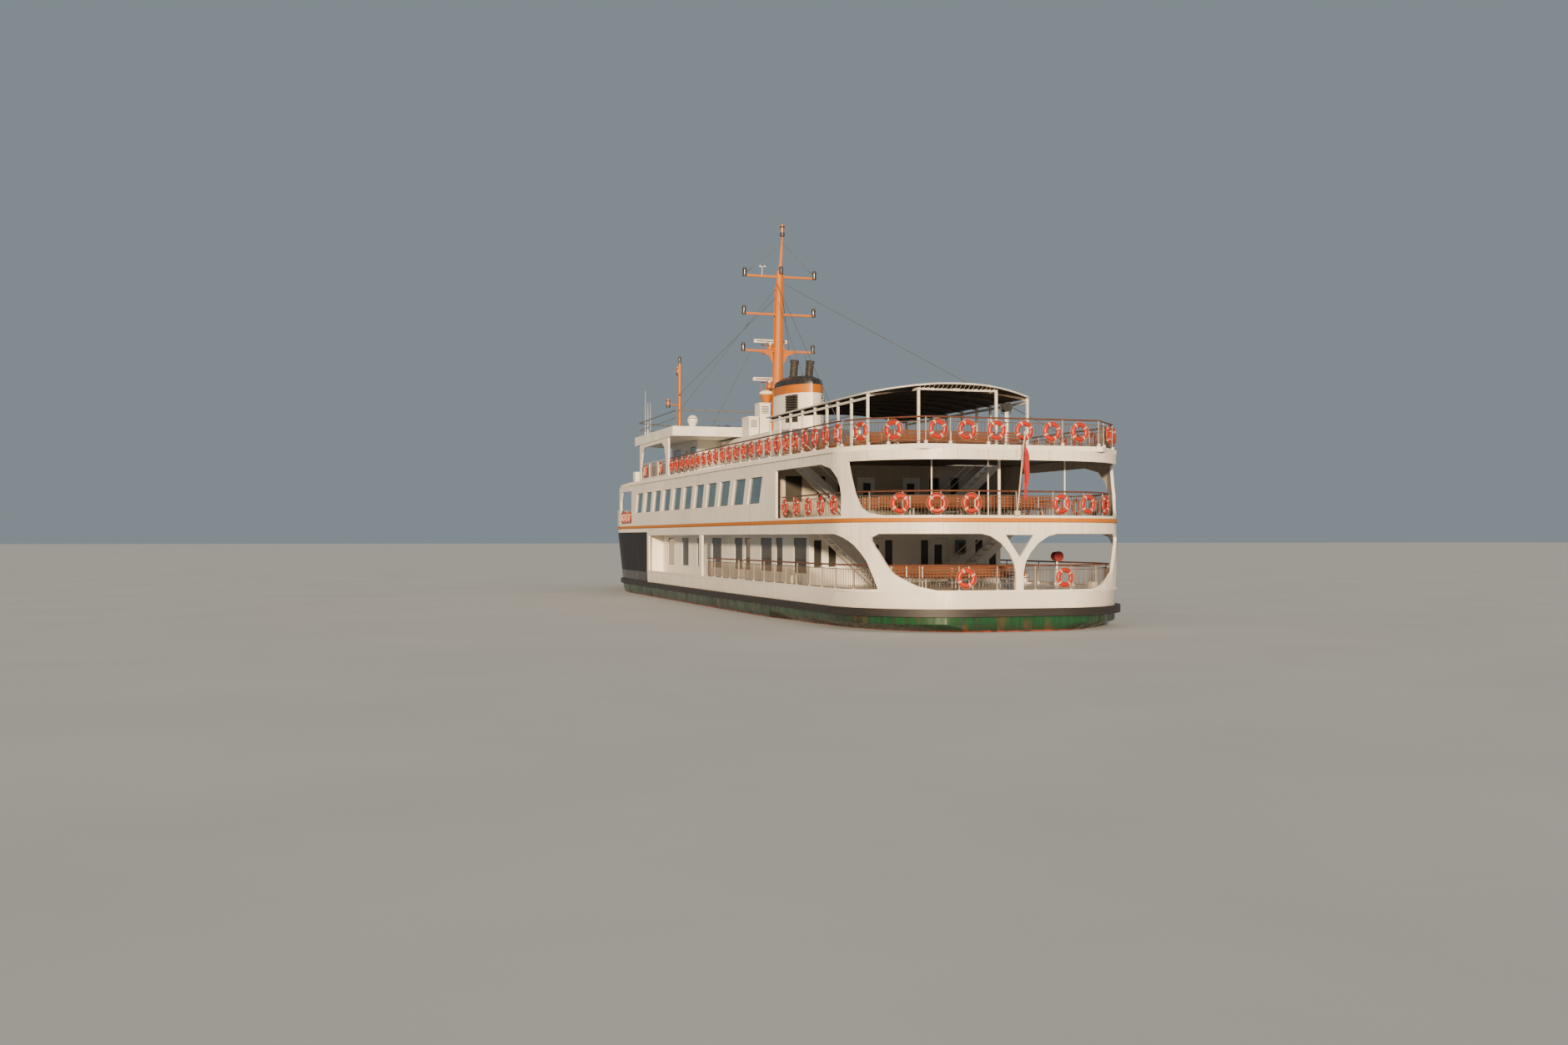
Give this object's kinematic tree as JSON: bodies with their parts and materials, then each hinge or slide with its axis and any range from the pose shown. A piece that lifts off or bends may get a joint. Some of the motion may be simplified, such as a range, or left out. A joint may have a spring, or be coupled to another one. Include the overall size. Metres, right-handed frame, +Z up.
{
  "type": "passenger ferry, 1:2 scale model afloat",
  "caption": "White three-deck passenger ferry with open promenades, life rings along its rails, a canopy, a funnel and an orange mast",
  "frame": {"origin": "on the centreline amidships, at the waterline", "axes": "+X towards the bow, +Y to port, +Z up"},
  "size_m": [30.64, 6.26, 12.2],
  "materials": {
    "white_paint": "semi gloss marine paint, weathered",
    "hull_paint": "black topsides over green boot topping, weathered",
    "orange_paint": "semi gloss yellow orange paint",
    "ring_plastic": "orange red life rings with white bands",
    "wood": "varnished slats",
    "black_rubber": "scuffed fender rubber",
    "bronze": "cast propeller bronze",
    "machine_grey": "painted casting",
    "flag_cloth": "woven polyester",
    "green_paint": "antifouling below the waterline"
  },
  "bodies": {
    "root": {"bow_bulwark": "white_paint", "bridge_roof": "white_paint", "canopy": "white_paint", "canopy_frame": "white_paint", "engine": "machine_grey", "flag": "flag_cloth", "flagstaff": "wood", "foremast": "orange_paint", "funnel": "white_paint", "hull": "hull_paint", "main_aft_bulkhead": "white_paint", "main_benches": "wood", "main_house_side_port": "white_paint", "main_house_side_starboard": "white_paint", "main_mast": "orange_paint", "main_rail": "ring_plastic", "main_side_port": "white_paint", "main_side_starboard": "white_paint", "officers_house": "white_paint", "raised_bow": "hull_paint", "rubbing_band": "black_rubber", "shaft_tube_port": "green_paint", "shaft_tube_starboard": "green_paint", "stair_main_port": "white_paint", "stair_main_starboard": "white_paint", "stair_upper_port": "white_paint", "stair_upper_starboard": "white_paint", "stern_frame_main": "white_paint", "stern_frame_upper": "white_paint", "sun_benches": "wood", "sun_deck": "white_paint", "sun_rail_port": "ring_plastic", "sun_rail_starboard": "ring_plastic", "sun_rail_stern": "ring_plastic", "upper_aft_bulkhead": "white_paint", "upper_benches": "wood", "upper_deck": "orange_paint", "upper_front_bulkhead": "white_paint", "upper_rail": "ring_plastic", "upper_side_port": "white_paint", "upper_side_starboard": "white_paint", "wheelhouse": "white_paint", "wing_screen_port": "white_paint", "wing_screen_starboard": "white_paint"},
    "propeller_port_turn_body": {"propeller_port": "bronze"},
    "rudder_port_steer_body": {"rudder_port": "green_paint"},
    "main_door_port_swing_body": {"main_door_port": "white_paint"},
    "upper_door_port_swing_body": {"upper_door_port": "white_paint"},
    "wheelhouse_door_port_swing_body": {"wheelhouse_door_port": "white_paint"},
    "gate_port_swing_body": {"gate_port": "white_paint"},
    "propeller_starboard_turn_body": {"propeller_starboard": "bronze"},
    "rudder_starboard_steer_body": {"rudder_starboard": "green_paint"},
    "main_door_starboard_swing_body": {"main_door_starboard": "white_paint"},
    "upper_door_starboard_swing_body": {"upper_door_starboard": "white_paint"},
    "wheelhouse_door_starboard_swing_body": {"wheelhouse_door_starboard": "white_paint"},
    "gate_starboard_swing_body": {"gate_starboard": "white_paint"},
    "radar_upper_turn_body": {"radar_upper": "white_paint"},
    "radar_lower_turn_body": {"radar_lower": "white_paint"}
  },
  "joints": [
    {"name": "propeller_port_turn", "type": "hinge", "parent": "root", "child": "propeller_port_turn_body", "pos_m": [-13.2, 1.15, -0.75], "axis": [1, 0, 0], "continuous": true},
    {"name": "rudder_port_steer", "type": "hinge", "parent": "root", "child": "rudder_port_steer_body", "pos_m": [-14.05, 1.15, -0.5], "axis": [0, 0, 1], "range_deg": [-35, 35]},
    {"name": "main_door_port_swing", "type": "hinge", "parent": "root", "child": "main_door_port_swing_body", "pos_m": [-9.3506, 0.575, 1.3], "axis": [0, 0, 1], "range_deg": [0, 110]},
    {"name": "upper_door_port_swing", "type": "hinge", "parent": "root", "child": "upper_door_port_swing_body", "pos_m": [-8.2603, 0.35, 2.75], "axis": [0, 0, 1], "range_deg": [0, 110]},
    {"name": "wheelhouse_door_port_swing", "type": "hinge", "parent": "root", "child": "wheelhouse_door_port_swing_body", "pos_m": [4.1, 1.7103, 4.15], "axis": [0, 0, 1], "range_deg": [0, 110]},
    {"name": "gate_port_swing", "type": "hinge", "parent": "root", "child": "gate_port_swing_body", "pos_m": [-6.0772, 2.9, 1.05], "axis": [0, 0, -1], "range_deg": [0, 95]},
    {"name": "propeller_starboard_turn", "type": "hinge", "parent": "root", "child": "propeller_starboard_turn_body", "pos_m": [-13.2, -1.15, -0.75], "axis": [1, 0, 0], "continuous": true},
    {"name": "rudder_starboard_steer", "type": "hinge", "parent": "root", "child": "rudder_starboard_steer_body", "pos_m": [-14.05, -1.15, -0.5], "axis": [0, 0, 1], "range_deg": [-35, 35]},
    {"name": "main_door_starboard_swing", "type": "hinge", "parent": "root", "child": "main_door_starboard_swing_body", "pos_m": [-9.3506, -0.575, 1.3], "axis": [0, 0, -1], "range_deg": [0, 110]},
    {"name": "upper_door_starboard_swing", "type": "hinge", "parent": "root", "child": "upper_door_starboard_swing_body", "pos_m": [-8.2603, -0.35, 2.75], "axis": [0, 0, -1], "range_deg": [0, 110]},
    {"name": "wheelhouse_door_starboard_swing", "type": "hinge", "parent": "root", "child": "wheelhouse_door_starboard_swing_body", "pos_m": [4.1, -1.7103, 4.15], "axis": [0, 0, -1], "range_deg": [0, 110]},
    {"name": "gate_starboard_swing", "type": "hinge", "parent": "root", "child": "gate_starboard_swing_body", "pos_m": [-6.0772, -2.9, 1.05], "axis": [0, 0, 1], "range_deg": [0, 95]},
    {"name": "radar_upper_turn", "type": "hinge", "parent": "root", "child": "radar_upper_turn_body", "pos_m": [1.05, 0, 7.45], "axis": [0, 0, 1], "continuous": true},
    {"name": "radar_lower_turn", "type": "hinge", "parent": "root", "child": "radar_lower_turn_body", "pos_m": [1.15, 0, 6.35], "axis": [0, 0, 1], "continuous": true}
  ]
}
